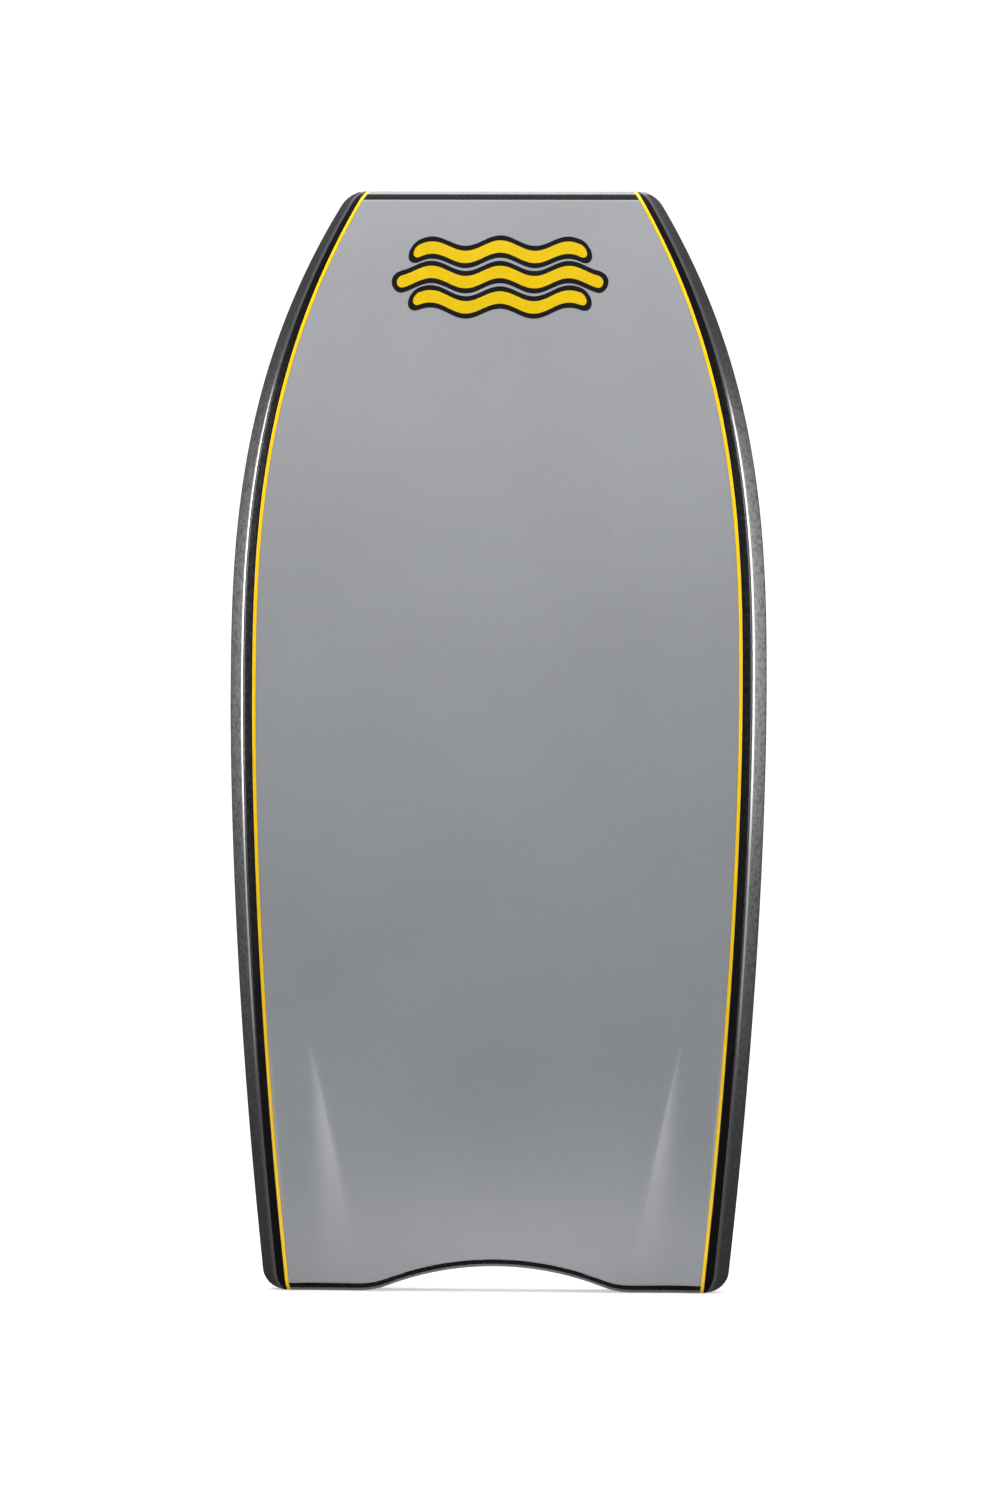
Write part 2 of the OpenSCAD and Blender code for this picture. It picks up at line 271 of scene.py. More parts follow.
def strip_w(s):
    """Width of the rail outside the pinline."""
    corners = corner_in(NOSE_CORNER_R, s) + corner_in(TAIL_CORNER_R, LENGTH - s)
    return rail_w(s) - PIN_HALF - corners


def line_x(s, share):
    """Where a line lies that runs along the rail at a share of its width."""
    return pin_x(s) + PIN_HALF + share * strip_w(s)


def thickness(s):
    nose = (MID_T - NOSE_T) * np.clip(1 - s / THIN_LEN, 0, None) ** 2
    tail = (MID_T - TAIL_T) * np.clip(1 - (LENGTH - s) / THIN_LEN, 0, None) ** 2
    return MID_T - nose - tail


def lift(s):
    """The rocker: how high the slick lies."""
    nose = NOSE_LIFT * np.clip(1 - s / NOSE_ROCKER, 0, None) ** 2
    tail = TAIL_LIFT * np.clip(1 - (LENGTH - s) / TAIL_ROCKER, 0, None) ** 2
    return nose + tail


def blended(s, places, values):
    """A line through the given values, with its corners rounded."""
    steps = np.linspace(-BLEND_REACH, BLEND_REACH, BLEND_STEPS)
    return np.mean([np.interp(s + d, places, values) for d in steps], axis=0)


def rise(s):
    """How far the slick side rises towards the nose and tail edges, as a share of the thickness."""
    places = [0, NOSE_SPLIT, NOSE_BAND, TAIL_BAND, TAIL_SPLIT, LENGTH]
    return blended(s, places, [NOSE_RISE, SPLIT_SHARE, 0, 0, SPLIT_SHARE, TAIL_RISE])


def top_share(s):
    """How high the deck lies near the nose and tail edges, as a share of its full height."""
    places = [0, NOSE_SPLIT, NOSE_BAND, TAIL_SPLIT, LENGTH]
    return blended(s, places, [NOSE_TOP, NOSE_SPLIT_TOP, 1, 1, TAIL_TOP])


def inner_scale(s):
    """The rail strips reach full depth between the bumpers, and are shallow at them."""
    places = [NOSE_BAND, NOSE_BAND + RAIL_TAPER, TAIL_BAND - RAIL_TAPER, TAIL_BAND]
    return np.interp(s, places, [BUMPER_SCALE, 1, 1, BUMPER_SCALE])


def channel_run(s):
    return np.clip((s - CHANNEL_START) / CHANNEL_LEN, 0, None)


def shoulder_x(s):
    """Where a channel's sharp inner edge lies, or where it would lie further up the board."""
    spread = SHOULDER_SPREAD * (1 - np.minimum(channel_run(s), 1)) ** SHOULDER_BEND
    along = CRESCENT_HALF - SHOULDER_INSET + spread
    return np.where(s < CHANNEL_START, SHOULDER_SHARE * pin_x(s), along)


def wall_x(s):
    """Where the channel's hollow wall ends."""
    room = np.minimum(1, (pin_x(s) - shoulder_x(s)) / WALL_FULL_ROOM + WALL_MIN_SHARE)
    return shoulder_x(s) + np.maximum(WALL_MIN_W, WALL_W * channel_run(s)) * room


def channel(s, x):
    """Depth of the channels."""
    a, b, edge = shoulder_x(s), wall_x(s), pin_x(s) - PIN_HALF
    wall = 1 - (1 - np.clip((abs(x) - a) / (b - a), 0, 1)) ** 2
    side = 1 - smooth((abs(x) - b) / (edge - b))
    return CHANNEL_DEPTH * smooth(channel_run(s)) * wall * side


def bump(d):
    """A round hump: 1 in its middle and 0 from distance 1 on."""
    return np.clip(1 - d * d, 0, None) ** 2


def hump(s, x, middle, reach):
    """A hump on each half of the board, given as (x, s) of its middle and its reach in x and s."""
    return bump(np.hypot((abs(x) - middle[0]) / reach[0], (s - middle[1]) / reach[1]))


def deck_shape(s, x):
    p = pin_x(s)
    bulb = hump(s, x, (BULB_SHARE * p, BULB_S), BULB_REACH)
    rest = hump(s, x, REST_AT, REST_REACH)
    return BULB_RISE * bulb - REST_DEPTH * rest - DECK_CROWN * (x / p) ** 2


def bottom(s, x):
    return lift(s) + np.maximum(channel(s, x), rise(s) * thickness(s))


def top(s, x):
    return lift(s) + (thickness(s) + deck_shape(s, x)) * top_share(s)


def inner_ridge_share(s):
    return np.maximum(INNER_RIDGE_SHARE, rise(s) + SPLIT_LEAD)


def split_h(s):
    """Height of the face where the side rails and upper bumpers rest on the strips below them."""
    return lift(s) + inner_ridge_share(s) * thickness(s)


def apex_h(s):
    return lift(s) + APEX_SHARE * thickness(s)


def crescent(x):
    a = np.minimum(abs(x), CRESCENT_HALF)
    ends = corner_in(CRESCENT_FILLET, CRESCENT_FILLET - (CRESCENT_HALF - a))
    arc = CRESCENT_DEPTH - CRESCENT_R + np.sqrt(CRESCENT_R**2 - np.minimum(a, CRESCENT_R) ** 2)
    return np.where(a > CRESCENT_JOIN, ends, arc)


def place(s, x, h):
    """Points in the frame, with the tail rows bent to follow the crescent."""
    s, x, h = np.broadcast_arrays(s, x, h)
    warp = crescent(x) * smooth((s - TAIL_BAND + CRESCENT_FADE) / CRESCENT_FADE)
    return np.stack([x, SLICK_Y + h, LENGTH - s + warp], axis=-1)


# ---------------------------------------------------------------- stations, columns and sections


def stations(start=0.0, end=LENGTH, mid=RAIL_ROWS, ends=END_ROWS):
    """Places along the board, close together at both ends of it."""
    near = END_REACH * (1 - np.cos(np.linspace(0, math.pi / 2, ends)))
    between = np.linspace(END_REACH, LENGTH - END_REACH, mid)[1:-1]
    every = np.concatenate([near, between, LENGTH - near[::-1]])
    inside = every[(every > start + MIN_GAP) & (every < end - MIN_GAP)]
    return np.concatenate([[start], inside, [end]])


def columns(s, edge, counts, rim=(0.0,)):
    """Places across the board at each station, and at the rim's distances from both edges."""
    s, edge = s[:, None], edge[:, None]
    a, b, e = shoulder_x(s), wall_x(s), edge - rim[0]
    parts = [
        a * np.linspace(0, 1, counts[0] + 1),
        a + (b - a) * np.linspace(0, 1, counts[1] + 1)[1:],
        b + (e - b) * np.linspace(0, 1, counts[2] + 1)[1:],
        edge - np.array(rim[1:]),
    ]
    half = np.concatenate(parts, axis=1)
    return np.concatenate([-half[:, :0:-1], half], axis=1)


def xh(x, h):
    """Section points from places across and heights."""
    return np.stack(np.broadcast_arrays(x, h), axis=-1)


def stack(*points):
    """Joins single section points and runs of them into one run."""
    return np.concatenate([p if p.ndim == 3 else p[:, None] for p in points], axis=1)


def unit(v):
    return v / np.linalg.norm(v, axis=-1, keepdims=True)


def fillet(u, v, w, r, n):
    """n points round corner v of the path u, v, w, starting at distance r from it."""
    ends = []
    for other in (u, w):
        room = FILLET_ROOM * np.linalg.norm(other - v, axis=-1, keepdims=True)
        ends.append((v + unit(other - v) * np.minimum(r, room))[:, None])
    t = np.linspace(0, 1, n)[:, None]
    return ends[0] * (1 - t) ** 2 + v[:, None] * 2 * t * (1 - t) + ends[1] * t**2


def section_rings(s, section):
    return place(s[:, None], section[..., 0], section[..., 1])


# ---------------------------------------------------------------- mesh building


def new_piece(name, points, faces, sharp_deg=SHARP_DEG):
    """A mesh object with smooth faces, and sharp edges where it turns by more than sharp_deg."""
    mesh = bpy.data.meshes.new(name)
    mesh.from_pydata(points.tolist(), [], faces)
    mesh.validate()
    mesh.update()
    piece = bpy.data.objects.new(name, mesh)
    bpy.context.scene.collection.objects.link(piece)
    mesh.shade_smooth()
    mesh.set_sharp_from_angle(angle=math.radians(sharp_deg))
    return piece


def loft_faces(m, n, flip=False):
    """Faces of a closed solid through m rings of n points, with a cap of strips at each end."""
    faces = []
    for j in range(m - 1):
        for i in range(n):
            a, b = j * n + i, j * n + (i + 1) % n
            faces.append((a, a + n, b + n, b))
    last = (m - 1) * n
    for i in range((n - 1) // 2):
        cap = [i, i + 1, n - 2 - i, n - 1 - i]
        if cap[1] == cap[2]:
            cap.pop(1)
        faces.append(tuple(cap))
        faces.append(tuple(last + c for c in reversed(cap)))
    return [f[::-1] for f in faces] if flip else faces


def loft(name, rings, flip=False, sharp_deg=SHARP_DEG):
    m, n = rings.shape[:2]
    return new_piece(name, rings.reshape(-1, 3), loft_faces(m, n, flip), sharp_deg)


def mirrored_loft(name, rings):
    return loft(name, rings * [-1, 1, 1], flip=True)


def mark_rub_and_highlight(piece, amounts):
    """Marks how far each point of a ring is smoothed by rubbing and painted lighter as a highlight, the
    same for every ring.
    """
    marks = piece.data.attributes.new("rub_and_highlight", "FLOAT", "POINT")
    rings = len(piece.data.vertices) // len(amounts)
    marks.data.foreach_set("value", np.tile(amounts.astype(np.float32), rings))


# ---------------------------------------------------------------- materials


def colour(value):
    """A colour with alpha, from a linear colour or a grey."""
    if isinstance(value, (int, float)):
        return (value, value, value, 1.0)
    return tuple(value) + (1.0,)


def srgb(r, g, b):
    """A linear colour from 0 to 255 screen values."""
    parts = [c / 255 for c in (r, g, b)]
    return tuple(c / 12.92 if c < 0.04045 else ((c + 0.055) / 1.055) ** 2.4 for c in parts)


def shade(value, factor):
    return tuple(c * factor for c in value)


class Nodes:
    """A short way to build a material's node tree."""

    def __init__(self, name):
        self.material = bpy.data.materials.new(name)
        self.material.use_nodes = True
        self.tree = self.material.node_tree
        self.shader = self.tree.nodes["Principled BSDF"]
        self.place = self.node("ShaderNodeTexCoord").outputs["Object"]

    def put(self, socket, value):
        """Links a socket to another, or sets its value."""
        if isinstance(value, bpy.types.NodeSocket):
            self.tree.links.new(value, socket)
        else:
            socket.default_value = value

    def node(self, kind, **inputs):
        made = self.tree.nodes.new(kind)
        for key, value in inputs.items():
            self.put(made.inputs[key.replace("_", " ")], value)
        return made

    def set(self, **inputs):
        for key, value in inputs.items():
            self.put(self.shader.inputs[key.replace("_", " ")], value)

    def stretched(self, scale):
        return self.node("ShaderNodeMapping", Vector=self.place, Scale=scale).outputs["Vector"]

    def turned(self, angles):
        return self.node("ShaderNodeMapping", Vector=self.place, Rotation=angles).outputs["Vector"]

    def noise(self, scale, detail=2.0, roughness=0.5, vector=None):
        inputs = {"Scale": scale, "Detail": detail, "Roughness": roughness}
        return self.node("ShaderNodeTexNoise", Vector=vector or self.place, **inputs).outputs["Fac"]

    def cells(self, scale, feature="F1", vector=None):
        made = self.node("ShaderNodeTexVoronoi", Scale=scale, Vector=vector or self.place)
        made.feature = feature
        return made.outputs["Distance"]

    def waves(self, scale, direction="X", distortion=0.0, vector=None):
        inputs = {"Scale": scale, "Distortion": distortion}
        made = self.node("ShaderNodeTexWave", Vector=vector or self.place, **inputs)
        made.bands_direction = direction
        return made.outputs["Fac"]

    def ramp(self, value, low, high, between):
        """Colours or greys from low to high as value crosses the given range."""
        made = self.node("ShaderNodeValToRGB", Fac=value)
        stops = made.color_ramp.elements
        stops[0].position, stops[1].position = between
        stops[0].color, stops[1].color = colour(low), colour(high)
        return made.outputs["Color"]

    def mix(self, a, b, factor, blend="MIX"):
        made = self.tree.nodes.new("ShaderNodeMix")
        made.data_type = "RGBA"
        made.blend_type = blend
        sockets = {i.name: i for i in made.inputs if i.enabled}
        self.put(sockets["Factor"], factor)
        for key, value in (("A", a), ("B", b)):
            fixed = not isinstance(value, bpy.types.NodeSocket)
            self.put(sockets[key], colour(value) if fixed else value)
        return [o for o in made.outputs if o.enabled][-1]

    def math(self, operation, a, b):
        made = self.tree.nodes.new("ShaderNodeMath")
        made.operation = operation
        self.put(made.inputs[0], a)
        self.put(made.inputs[1], b)
        return made.outputs[0]

    def bump(self, *layers):
        """Bumps of (height, depth in metres), one after the other."""
        normal = None
        for height, depth in layers:
            made = self.node("ShaderNodeBump", Strength=1.0, Distance=depth, Height=height)
            if normal:
                self.tree.links.new(normal, made.inputs["Normal"])
            normal = made.outputs["Normal"]
        self.set(Normal=normal)


# How a ridge looks where it is rubbed smooth: its roughness, and how much lighter its colour is painted
# there as a highlight.
BUFFED_ROUGHNESS = 0.19
RIDGE_PAINTED_HIGHLIGHT = 2.6


def slick_material():
    """Satin film: faint clouding, a fine pebble, hair scratches along the board and a few scuffs."""
    n = Nodes("slick_film")
    grey = srgb(126, 131, 135)
    clouds = n.ramp(n.noise(7, detail=3), shade(grey, 0.97), shade(grey, 1.03), (0.35, 0.65))
    specks = n.ramp(n.noise(650), 0.965, 1.02, (0.4, 0.6))
    scuffs = n.ramp(n.cells(23, vector=n.stretched((1, 1, 0.8))), 0.8, 1.0, (0.012, 0.03))
    n.set(Base_Color=n.mix(n.mix(clouds, specks, 1.0, "MULTIPLY"), scuffs, 0.6, "MULTIPLY"))
    hair = n.noise(90, detail=3, vector=n.stretched((9, 9, 0.25)))
    n.set(Roughness=n.ramp(hair, 0.32, 0.35, (0.3, 0.7)), Specular_IOR_Level=0.5)
    n.bump((n.noise(1100), 0.006 * MM), (n.noise(26, detail=1), 0.05 * MM), (hair, 0.002 * MM))
    return n.material


def foam_material(name, base, roughness, grain, contrast=0.14, shine=0.5):
    """Closed-cell foam: skinned cells in a fine grain, smoother on the marked ridge, where its colour
    is also painted lighter as a highlight.
    """
    n = Nodes(name)
    cells = n.cells(950, "SMOOTH_F1")
    grains = n.ramp(cells, shade(base, 1 + contrast), shade(base, 1 - contrast), (0.15, 0.75))
    patches = n.ramp(n.noise(38, detail=4, roughness=0.6), 0.95, 1.06, (0.35, 0.7))
    even = n.mix(grains, patches, 1.0, "MULTIPLY")
    matt = n.ramp(n.noise(210, detail=3), roughness - 0.03, roughness + 0.05, (0.3, 0.7))
    attribute = n.tree.nodes.new("ShaderNodeAttribute")
    attribute.attribute_name = "rub_and_highlight"
    rub_and_highlight = attribute.outputs["Fac"]
    # The marked ridge is painted lighter here, as a highlight.
    n.set(Base_Color=n.mix(even, shade(base, RIDGE_PAINTED_HIGHLIGHT), rub_and_highlight))
    n.set(Roughness=n.mix(matt, BUFFED_ROUGHNESS, rub_and_highlight), Specular_IOR_Level=shine)
    n.bump((cells, grain), (n.noise(520, detail=3), 0.5 * grain))
    return n.material


def deck_material():
    """Deck foam, embossed with small pits that are painted darker towards their bottoms as shade, over
    the fine cell grain.
    """
    n = Nodes("deck_foam")
    base = srgb(46, 47, 50)
    pits = n.cells(210)
    worn = n.ramp(n.noise(9, detail=4, roughness=0.6), 0.9, 1.16, (0.35, 0.7))
    # The colour is painted darker towards each pit's bottom, as shade in the pits.
    grains = n.ramp(pits, shade(base, 0.7), shade(base, 1.15), (0.1, 0.5))
    n.set(Base_Color=n.mix(grains, worn, 1.0, "MULTIPLY"))
    n.set(Roughness=n.ramp(n.noise(300), 0.55, 0.72, (0.3, 0.7)))
    n.bump((pits, 0.35 * MM), (n.cells(900, "SMOOTH_F1"), 0.07 * MM))
    return n.material


def film_material(name, base, roughness, flecks=0.04, shine=0.5):
    """Coloured film with slight unevenness in its tone and gloss."""
    n = Nodes(name)
    tone = n.ramp(n.noise(60, detail=4), shade(base, 1 - flecks), shade(base, 1 + flecks), (0.35, 0.65))
    grain = n.ramp(n.noise(900), 0.95, 1.03, (0.4, 0.6))
    n.set(Base_Color=n.mix(tone, grain, 1.0, "MULTIPLY"), Specular_IOR_Level=shine)
    n.set(Roughness=n.ramp(n.noise(240), roughness - 0.05, roughness + 0.06, (0.3, 0.7)))
    n.bump((n.noise(700), 0.02 * MM))
    return n.material


def tube_material():
    """Wound fibre tube: crossing bands under a satin resin."""
    n = Nodes("composite_tube")
    bands = [n.waves(110, distortion=0.6, vector=n.turned((0, turn, 0))) for turn in (0.9, -0.9)]
    weave = n.math("MULTIPLY", *bands)
    n.set(Base_Color=n.ramp(weave, srgb(24, 24, 26), srgb(62, 62, 66), (0.1, 0.7)), Roughness=0.32)
    n.bump((weave, 0.08 * MM))
    return n.material


def mesh_material():
    """Polymer reinforcing grid: strands in two directions over a darker ground."""
    n = Nodes("polymer_mesh")
    grid = n.math("MAXIMUM", *[n.waves(55, direction) for direction in ("X", "Z")])
    n.set(Base_Color=n.ramp(grid, srgb(150, 150, 146), srgb(236, 236, 230), (0.6, 0.8)))
    n.set(Roughness=0.6)
    n.bump((grid, 0.2 * MM))
    return n.material


# ---------------------------------------------------------------- the slick and the deck


def roll_in(d):
    """How far a sheet rolls down at distance d from its edge."""
    return ROLL_DEPTH * np.clip(1 - d / ROLL_REACH, 0, None) ** 2


def slick_film():
    s = stations(NOSE_BAND + ROLL_REACH, TAIL_BAND - ROLL_REACH, mid=SLICK_ROWS)
    s = np.concatenate([NOSE_BAND + ROLL_STEPS[:-1], s, TAIL_BAND - ROLL_STEPS[-2::-1]])
    edge = pin_x(s) - PIN_HALF
    x = columns(s, edge, SLICK_COLUMNS, (ROLL_INSET, *ROLL_STEPS[::-1]))
    s = s[:, None]
    to_end = np.minimum(s - NOSE_BAND, TAIL_BAND - s)
    surface = bottom(s, x) + roll_in(np.minimum(edge[:, None] - abs(x), to_end))
    outer = place(s, x, surface)
    inner = place(s, x, bottom(s, x) + FILM_T)
    rings = np.concatenate([outer, inner[:, ::-1]], axis=1)
    return loft("slick_skin", rings, sharp_deg=SHEET_SHARP_DEG)


def deck_corner(s):
    """The rounded corner from the right-hand top rail to the deck."""
    x_edge = line_x(s, DECK_EDGE_AT * inner_scale(s))
    x_in = x_edge - DECK_EDGE_INSET
    edge, flat = xh(x_edge, top(s, x_edge)), xh(x_in, top(s, x_in))
    return fillet(xh(line_x(s, 1), apex_h(s)), edge, flat, DECK_EDGE_R, CORNER_POINTS)


def deck_section(s, dip):
    """The deck's surface from left to right, with its first and last point sunk into a seam."""
    edge = line_x(s, DECK_EDGE_AT * inner_scale(s)) - DECK_EDGE_INSET
    x = columns(s, edge, DECK_COLUMNS)
    middle = xh(x, top(s[:, None], x))[:, 1:-1]
    right = deck_corner(s)[:, CORNER_SPLIT:]
    right[:, 0, 1] -= dip
    return stack(right[:, ::-1] * MIRROR, middle, right)


def deck_skin():
    s = stations(NOSE_BAND, TAIL_BAND, mid=DECK_ROWS)
    upper = deck_section(s, DECK_SEAM_DIP)
    x = upper[..., 0]
    lower = xh(x, top(s[:, None], x) - DECK_T)
    rings = section_rings(s, stack(lower, upper[:, ::-1]))
    return loft("deck_sheet", rings, sharp_deg=SHEET_SHARP_DEG)


# ---------------------------------------------------------------- rails and pinlines


def rail_lines(s):
    """The corners of the right-hand rail's section."""
    pin = pin_x(s)
    ridge_share = np.maximum(RIDGE_SHARE, rise(s) + RIDGE_LEAD)
    under = np.minimum(SLICK_STACK_T, (split_h(s) - bottom(s, pin)) / 2)
    return {
        "start": xh(line_x(s, 0), bottom(s, pin) + GROOVE),
        "ridge": xh(line_x(s, CHINE_AT), lift(s) + ridge_share * thickness(s)),
        "apex": xh(line_x(s, 1), apex_h(s)),
        "inner_start": xh(line_x(s, 0), bottom(s, pin) + under),
        "inner_ridge": xh(line_x(s, INNER_RIDGE_AT * inner_scale(s)), split_h(s)),
        "inner_apex": xh(line_x(s, INNER_APEX_AT * inner_scale(s)), apex_h(s)),
    }


def seamed(section, outer_count):
    """Sinks the first and last outer point of a strip a little, so that a seam shows beside it."""
    middle = section[:, outer_count:].mean(axis=1)
    for i in (0, outer_count - 1):
        section[:, i] += unit(middle - section[:, i]) * SEAM_DIP
    return section


def rail_strips():
    """Rings of the right side's chine, side rail and top rail."""
    s = stations()
    c = rail_lines(s)
    corner = deck_corner(s)
    toe = fillet(c["start"] + [0, TOE_DEPTH], c["start"], c["ridge"], TOE_R, TOE_POINTS)
    ridge = fillet(c["start"], c["ridge"], c["apex"], RIDGE_R, RAIL_POINTS)
    beyond = c["apex"] + unit(c["apex"] - c["ridge"]) * APEX_PUSH
    apex = fillet(c["ridge"], beyond, corner[:, 0], APEX_R, RAIL_POINTS)
    foot = corner[:, CORNER_SPLIT] - TOP_RAIL_FOOT
    outer = {
        "chine": stack(toe, ridge[:, : RIDGE_SPLIT + 1]),
        "side_rail": stack(ridge[:, RIDGE_SPLIT:], apex[:, : APEX_SPLIT + 1]),
        "top_rail": stack(apex[:, APEX_SPLIT:], corner[:, : CORNER_SPLIT + 1]),
    }
    inner = {
        "chine": (c["inner_ridge"], c["inner_start"]),
        "side_rail": (c["inner_apex"], c["inner_ridge"]),
        "top_rail": (foot, c["inner_apex"]),
    }
    rings = {}
    for name, run in outer.items():
        section = seamed(stack(run, *inner[name]), run.shape[1])
        rings[name] = section_rings(s, section)
    return rings


def ridge_rub_and_highlight(name, count):
    """How far each point of a rail strip's ring is smoothed by rubbing and painted lighter as a
    highlight: only along the side rail's ridge.
    """
    amounts = np.zeros(count)
    if name == "side_rail":
        on_ridge = RAIL_POINTS - RIDGE_SPLIT
        amounts[:on_ridge] = np.linspace(1, 0, on_ridge) ** RUB_AND_HIGHLIGHT_FADE
    return amounts


def pinline_rings():
    """A low bead on the joint between the slick and the chine."""
    s = stations()
    x, h = pin_x(s)[:, None], bottom(s, pin_x(s))[:, None]
    arc = np.linspace(math.pi, 0, PIN_POINTS)
    bead = xh(x + PIN_HALF * np.cos(arc), h - PIN_PROUD * np.sin(arc))
    base = xh(x + PIN_HALF * np.array([PIN_BASE, -PIN_BASE]), h + PIN_DEPTH)
    return section_rings(s, stack(bead, base))


# ---------------------------------------------------------------- bumpers


def lower_bumper(name, start, end):
    """The black strip between the slick and the split line."""
    s = stations(start, end, ends=BUMPER_END_ROWS)
    x = columns(s, pin_x(s) - PIN_HALF, BUMPER_COLUMNS)
    s = s[:, None]
    surface = bottom(s, x) + roll_in(np.minimum(abs(s - NOSE_BAND), abs(s - TAIL_BAND)))
    outer, inner = place(s, x, surface), place(s, x, split_h(s))
    return loft(name, np.concatenate([outer, inner[:, ::-1]], axis=1))


def upper_bumper(name, start, end):
    """The strip beyond it, up to the deck."""
    s = stations(start, end, ends=BUMPER_END_ROWS)
    x = columns(s, line_x(s, 0), BUMPER_COLUMNS)
    across = s[:, None]
    beyond = (across < NOSE_SPLIT) | (across > TAIL_SPLIT)
    low = np.where(beyond, bottom(across, x), split_h(across))
    deck = deck_section(s, 0)
    return loft(name, section_rings(s, stack(xh(x, low), deck[:, ::-1])))


# ---------------------------------------------------------------- emblem


def wave_mid(k, x):
    """The middle line of wave k, as a height above the emblem's middle."""
    pitch = WAVE_PITCH - EMBLEM_ARCH * (2 * x / EMBLEM_W) ** 2
    return k * pitch + WAVE_RISE * np.cos(2 * math.pi * WAVE_CRESTS * x / EMBLEM_W)


def wave_rings(k, margin, under, over):
    """One wave of the emblem with round ends, between two heights above the slick."""
    half_t = WAVE_T / 2 + margin
    straight = EMBLEM_W / 2 * (1 - WAVE_SHRINK * abs(k)) + margin - half_t
    turn = half_t * WAVE_END_STEPS
    middle = np.linspace(-straight, straight, WAVE_POINTS)
    x = np.concatenate([-straight - turn, middle, straight + turn[::-1]])
    half = np.sqrt(half_t**2 - np.clip(abs(x) - straight, 0, None) ** 2)
    s = EMBLEM_AT - wave_mid(k, x)[:, None] - half[:, None] * np.linspace(-1, 1, WAVE_LANES)
    x = x[:, None]
    outer = place(s, x, bottom(s, x) - over)
    inner = place(s, x, bottom(s, x) - under)
    return np.concatenate([outer, inner[:, ::-1]], axis=1)


def emblem(name, margin, under, over):
    """Three stacked waves."""
    points, faces = [], []
    for k in (-1, 0, 1):
        rings = wave_rings(k, margin, under, over)
        base = sum(len(p) for p in points)
        faces += [tuple(base + i for i in f) for f in loft_faces(*rings.shape[:2])]
        points.append(rings.reshape(-1, 3))
    return new_piece(name, np.concatenate(points), faces)


# ---------------------------------------------------------------- putting it together


def dress(piece, material, slot, node):
    """Rides the piece on the board, gives it its material and hides the CAD node that it stands for."""
    piece.data.materials.append(material)
    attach(piece, "root")
    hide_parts(node)


def dress_node(node, material):
    """Gives a CAD node that stays its material."""
    held = frame["nodes"][node]
    if not held.material_slots:
        held.data.materials.append(material)
    for slot in held.material_slots:
        slot.material = material


def build_sheets():
    dress(slick_film(), slick_material(), "slick_grey", "slick_film")
    dress(deck_skin(), deck_material(), "deck_foam", "deck_skin")


def build_pinlines():
    yellow = film_material("yellow_film", srgb(222, 182, 3), 0.34, shine=0.25)
    rings = pinline_rings()
    dress(loft("pin_right", rings), yellow, "yellow_film", "pinline_right")
    dress(mirrored_loft("pin_left", rings), yellow, "yellow_film", "pinline_left")


def build_rails(black):
    charcoal = foam_material("charcoal_foam", srgb(44, 44, 47), 0.27, 0.014 * MM, shine=0.3)
    looks = {
        "chine": (black, "black_foam"),
        "side_rail": (charcoal, "charcoal_foam"),
        "top_rail": (charcoal, "charcoal_foam"),
    }
    for name, rings in rail_strips().items():
        right = loft(f"{name}_strip_right", rings)
        left = mirrored_loft(f"{name}_strip_left", rings)
        for piece, side in ((right, "right"), (left, "left")):
            # The side rail's ridge is marked to be smoother and painted lighter as a highlight.
            mark_rub_and_highlight(piece, ridge_rub_and_highlight(name, rings.shape[1]))
            dress(piece, *looks[name], f"{name}_{side}")


def build_bumpers(black):
    # The upper bumpers are charcoal foam; this lighter grey copy of it is a painted highlight on them
    # at the nose and tail edges.
    grey = foam_material("bumper_foam_painted_highlight", srgb(104, 104, 106), 0.3, 0.014 * MM, shine=0.4)
    ends = {"nose": (0.0, NOSE_SPLIT, NOSE_BAND), "tail": (LENGTH, TAIL_SPLIT, TAIL_BAND)}
    for end, (tip, split, band) in ends.items():
        lower = lower_bumper(f"{end}_strip_black", *sorted((split, band)))
        upper = upper_bumper(f"{end}_strip_charcoal", *sorted((tip, band)))
        dress(lower, black, "black_foam", f"{end}_bumper_lower")
        dress(upper, grey, "charcoal_foam", f"{end}_bumper_upper")


def build_emblem():
    black = film_material("black_print", srgb(12, 12, 13), 0.4)
    yellow = film_material("yellow_print", srgb(180, 154, 2), 0.4, flecks=0.03, shine=0.3)
    base = emblem("emblem_base", WAVE_OUTLINE, 0, BASE_PROUD)
    waves = emblem("emblem_waves", 0, WAVES_BASE, WAVES_PROUD)
    dress(base, black, "black_print", "emblem_outline")
    dress(waves, yellow, "yellow_print", "emblem_fill")


def dress_inside():
    white = foam_material("core_foam", srgb(240, 240, 236), 0.7, 0.12 * MM, contrast=0.04)
    backing = foam_material("backing_foam", srgb(212, 212, 210), 0.65, 0.08 * MM, contrast=0.05)
    cap = film_material("cap_plastic", srgb(34, 34, 36), 0.45)
    grid = mesh_material()
    looks = {
        "core": white,
        "stringer_bore_plug": white,
        "slick_backing": backing,
        "slick_mesh": grid,
        "deck_mesh": grid,
        "stringer_tube": tube_material(),
        "stringer_nose_cap": cap,
        "stringer_tail_cap": cap,
    }
    for node, material in looks.items():
        dress_node(node, material)


# ---------------------------------------------------------------- floor, world and camera

FLOOR_RADIUS = 3.2
FLOOR_RINGS = 24
FLOOR_SPOKES = 96
FLOOR_GREY = 0.6
FLOOR_GLOW = 0.5
FLOOR_FADE = (0.3, 0.72)

WORLD_LIGHT = 0.1
BACKDROP_LIGHT = 1.15

CAMERA_DISTANCE = 6.0
CAMERA_ASIDE = 0.245
CAMERA_DROP = 10.3 * MM
CAMERA_TURN = math.radians(2.308)
CAMERA_ROLL = math.radians(0.265)
SENSOR_MM = 36.0
FOCAL_SHARE = 4.155


